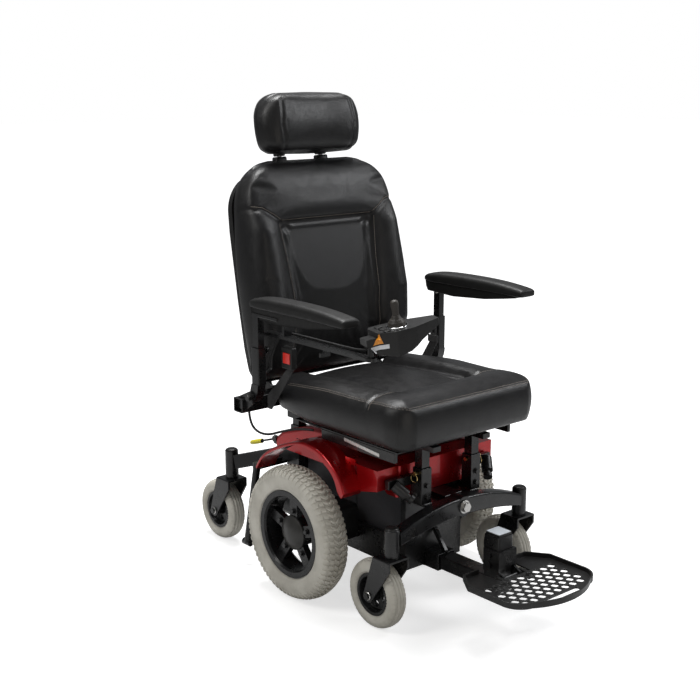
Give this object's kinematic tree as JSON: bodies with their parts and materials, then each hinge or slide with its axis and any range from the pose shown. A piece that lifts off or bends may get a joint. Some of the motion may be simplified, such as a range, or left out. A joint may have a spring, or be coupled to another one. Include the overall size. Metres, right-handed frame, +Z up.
{
  "type": "power wheelchair",
  "caption": "Mid-wheel-drive power wheelchair with casters front and rear, captain's seat, flip-up arms, joystick controller and folding footplate.",
  "frame": {"origin": "on the floor, under the middle of the chair's outline", "axes": "+Z up, the chair faces -Y, +X is the user's left"},
  "size_m": [0.7, 1.2478, 1.2872],
  "materials": {
    "black_frame": "satin powder coat",
    "red_body": "gloss candy red",
    "grey_tyre": "non-marking grey rubber",
    "black_plastic": "fine grain",
    "wheel_black": "semi-gloss",
    "black_vinyl": "grained vinyl",
    "arm_pad": "moulded urethane",
    "bright_steel": "zinc plated",
    "chrome": "polished",
    "battery_case": "moulded",
    "motor_black": "cast, painted black",
    "webbing": "woven webbing",
    "red_button": "gloss",
    "cable_sheath": "matt sheath"
  },
  "bodies": {
    "base": {"base_frame": "black_frame", "front_frame": "black_frame", "batteries": "battery_case", "shroud": "red_body", "fender_right": "red_body", "fender_left": "red_body", "gearmotor_right": "motor_black", "gearmotor_left": "motor_black", "beam_pivot_bolt": "bright_steel", "roll_buffers": "black_plastic", "seat_pins": "bright_steel"},
    "front_beam": {"front_beam": "black_frame"},
    "footrest": {"footrest_arm": "black_frame"},
    "footplate_carrier": {"footplate_carrier": "black_frame"},
    "footplate": {"footplate": "black_plastic"},
    "seat": {"seat_frame": "black_frame", "cross_tube": "black_frame", "seat_cushion": "black_vinyl", "controller_cable": "cable_sheath", "belt_straps": "webbing", "belt_buckle": "black_plastic"},
    "buckle_button": {"buckle_button": "red_button"},
    "back": {"back_shell": "black_plastic", "back_cushion": "black_vinyl"},
    "recline_lever": {"recline_lever": "black_frame"},
    "headrest": {"headrest_rods": "chrome", "headrest_cushion": "black_vinyl"},
    "arm_socket_right": {"arm_socket_right": "black_frame"},
    "arm_socket_left": {"arm_socket_left": "black_frame"},
    "arm_right": {"arm_post_right": "black_frame", "arm_pad_right": "arm_pad", "controller_bracket": "black_frame"},
    "arm_left": {"arm_post_left": "black_frame", "arm_pad_left": "arm_pad"},
    "controller": {"controller_housing": "black_plastic"},
    "joystick_gimbal": {"joystick_gimbal": "black_plastic"},
    "joystick": {"joystick_knob": "black_plastic"},
    "power_key": {"power_key": "black_plastic"},
    "horn_key": {"horn_key": "black_plastic"},
    "speed_rocker": {"speed_rocker": "black_plastic"},
    "drive_wheel_right": {"drive_tyre_right": "grey_tyre", "drive_rim_right": "wheel_black", "hub_cap_right": "wheel_black"},
    "freewheel_lever_right": {"freewheel_lever_right": "black_frame"},
    "caster_fork_front_right": {"caster_fork_front_right": "black_frame"},
    "caster_wheel_front_right": {"caster_tyre_front_right": "grey_tyre", "caster_rim_front_right": "wheel_black"},
    "caster_fork_rear_right": {"caster_fork_rear_right": "black_frame"},
    "caster_wheel_rear_right": {"caster_tyre_rear_right": "grey_tyre", "caster_rim_rear_right": "wheel_black"},
    "drive_wheel_left": {"drive_tyre_left": "grey_tyre", "drive_rim_left": "wheel_black", "hub_cap_left": "wheel_black"},
    "freewheel_lever_left": {"freewheel_lever_left": "black_frame"},
    "caster_fork_front_left": {"caster_fork_front_left": "black_frame"},
    "caster_wheel_front_left": {"caster_tyre_front_left": "grey_tyre", "caster_rim_front_left": "wheel_black"},
    "caster_fork_rear_left": {"caster_fork_rear_left": "black_frame"},
    "caster_wheel_rear_left": {"caster_tyre_rear_left": "grey_tyre", "caster_rim_rear_left": "wheel_black"}
  },
  "joints": [
    {"name": "drive_wheel_right_spin", "type": "hinge", "parent": "base", "child": "drive_wheel_right", "pos_m": [-0.27, 0.066, 0.178], "axis": [1, 0, 0], "continuous": true},
    {"name": "freewheel_lever_right_lift", "type": "hinge", "parent": "base", "child": "freewheel_lever_right", "pos_m": [-0.133, 0.339, 0.338], "axis": [1, 0, 0], "range_deg": [0, 25]},
    {"name": "caster_swivel_front_right", "type": "hinge", "parent": "front_beam", "child": "caster_fork_front_right", "pos_m": [-0.229, -0.254, 0.2], "axis": [0, 0, 1], "continuous": true},
    {"name": "caster_wheel_front_right_spin", "type": "hinge", "parent": "caster_fork_front_right", "child": "caster_wheel_front_right", "pos_m": [-0.229, -0.204, 0.0889], "axis": [1, 0, 0], "continuous": true},
    {"name": "caster_swivel_rear_right", "type": "hinge", "parent": "base", "child": "caster_fork_rear_right", "pos_m": [-0.178, 0.485, 0.2], "axis": [0, 0, 1], "continuous": true},
    {"name": "caster_wheel_rear_right_spin", "type": "hinge", "parent": "caster_fork_rear_right", "child": "caster_wheel_rear_right", "pos_m": [-0.178, 0.535, 0.0889], "axis": [1, 0, 0], "continuous": true},
    {"name": "drive_wheel_left_spin", "type": "hinge", "parent": "base", "child": "drive_wheel_left", "pos_m": [0.27, 0.066, 0.178], "axis": [1, 0, 0], "continuous": true},
    {"name": "freewheel_lever_left_lift", "type": "hinge", "parent": "base", "child": "freewheel_lever_left", "pos_m": [0.133, 0.339, 0.338], "axis": [1, 0, 0], "range_deg": [0, 25]},
    {"name": "caster_swivel_front_left", "type": "hinge", "parent": "front_beam", "child": "caster_fork_front_left", "pos_m": [0.229, -0.254, 0.2], "axis": [0, 0, 1], "continuous": true},
    {"name": "caster_wheel_front_left_spin", "type": "hinge", "parent": "caster_fork_front_left", "child": "caster_wheel_front_left", "pos_m": [0.229, -0.204, 0.0889], "axis": [1, 0, 0], "continuous": true},
    {"name": "caster_swivel_rear_left", "type": "hinge", "parent": "base", "child": "caster_fork_rear_left", "pos_m": [0.178, 0.485, 0.2], "axis": [0, 0, 1], "continuous": true},
    {"name": "caster_wheel_rear_left_spin", "type": "hinge", "parent": "caster_fork_rear_left", "child": "caster_wheel_rear_left", "pos_m": [0.178, 0.535, 0.0889], "axis": [1, 0, 0], "continuous": true},
    {"name": "front_beam_roll", "type": "hinge", "parent": "base", "child": "front_beam", "pos_m": [0, -0.254, 0.277], "axis": [0, 1, 0], "range_deg": [-6, 6]},
    {"name": "footrest_reach", "type": "slide", "parent": "base", "child": "footrest", "axis": [0, -1, 0], "range_m": [0, 0.06]},
    {"name": "footplate_height", "type": "slide", "parent": "footrest", "child": "footplate_carrier", "axis": [0, 0, 1], "range_m": [0, 0.03]},
    {"name": "footplate_flip", "type": "hinge", "parent": "footplate_carrier", "child": "footplate", "pos_m": [0, -0.432, 0.142], "axis": [-1, 0, 0], "range_deg": [0, 90]},
    {"name": "seat_height", "type": "slide", "parent": "base", "child": "seat", "axis": [0, 0, 1], "range_m": [0, 0.05]},
    {"name": "back_recline", "type": "hinge", "parent": "seat", "child": "back", "pos_m": [0, 0.262, 0.505], "axis": [-1, 0, 0], "range_deg": [-25, 30]},
    {"name": "recline_lever_lift", "type": "hinge", "parent": "back", "child": "recline_lever", "pos_m": [0.2165, 0.262, 0.505], "axis": [1, 0, 0], "range_deg": [0, 20], "stiffness_Nm_per_rad": 1, "springref_deg": -8.59},
    {"name": "headrest_height", "type": "slide", "parent": "back", "child": "headrest", "axis": [0, 0.1392, 0.9903], "range_m": [0, 0.05]},
    {"name": "arm_flip_right", "type": "hinge", "parent": "seat", "child": "arm_socket_right", "pos_m": [-0.325, 0.165, 0.53], "axis": [-1, 0, 0], "range_deg": [0, 50]},
    {"name": "arm_height_right", "type": "slide", "parent": "arm_socket_right", "child": "arm_right", "axis": [0, 0, 1], "range_m": [0, 0.05]},
    {"name": "arm_flip_left", "type": "hinge", "parent": "seat", "child": "arm_socket_left", "pos_m": [0.325, 0.165, 0.53], "axis": [-1, 0, 0], "range_deg": [0, 90]},
    {"name": "arm_height_left", "type": "slide", "parent": "arm_socket_left", "child": "arm_left", "axis": [0, 0, 1], "range_m": [0, 0.05]},
    {"name": "controller_swing", "type": "hinge", "parent": "arm_right", "child": "controller", "pos_m": [-0.284, -0.236, 0.71], "axis": [0, 0, -1], "range_deg": [0, 70]},
    {"name": "joystick_fore_aft", "type": "hinge", "parent": "controller", "child": "joystick_gimbal", "pos_m": [-0.22162, -0.25754, 0.76783], "axis": [0.2588, 0.9659, 0], "range_deg": [-18, 18], "stiffness_Nm_per_rad": 0.6},
    {"name": "joystick_side", "type": "hinge", "parent": "joystick_gimbal", "child": "joystick", "pos_m": [-0.22162, -0.25754, 0.76783], "axis": [0.9565, -0.2563, 0.1392], "range_deg": [-18, 18], "stiffness_Nm_per_rad": 0.6},
    {"name": "power_key_press", "type": "slide", "parent": "controller", "child": "power_key", "axis": [0.1344, -0.036, -0.9903], "range_m": [0, 0.0012], "stiffness_N_per_m": 400, "springref_m": -0.0005},
    {"name": "horn_key_press", "type": "slide", "parent": "controller", "child": "horn_key", "axis": [0.1344, -0.036, -0.9903], "range_m": [0, 0.0012], "stiffness_N_per_m": 400, "springref_m": -0.0005},
    {"name": "speed_rocker_tilt", "type": "hinge", "parent": "controller", "child": "speed_rocker", "pos_m": [-0.2577, -0.24787, 0.76056], "axis": [0.2588, 0.9659, 0], "range_deg": [-5, 5], "stiffness_Nm_per_rad": 0.05},
    {"name": "buckle_button_press", "type": "slide", "parent": "seat", "child": "buckle_button", "axis": [1, 0, 0], "range_m": [0, 0.0012], "stiffness_N_per_m": 400, "springref_m": -0.0005}
  ]
}
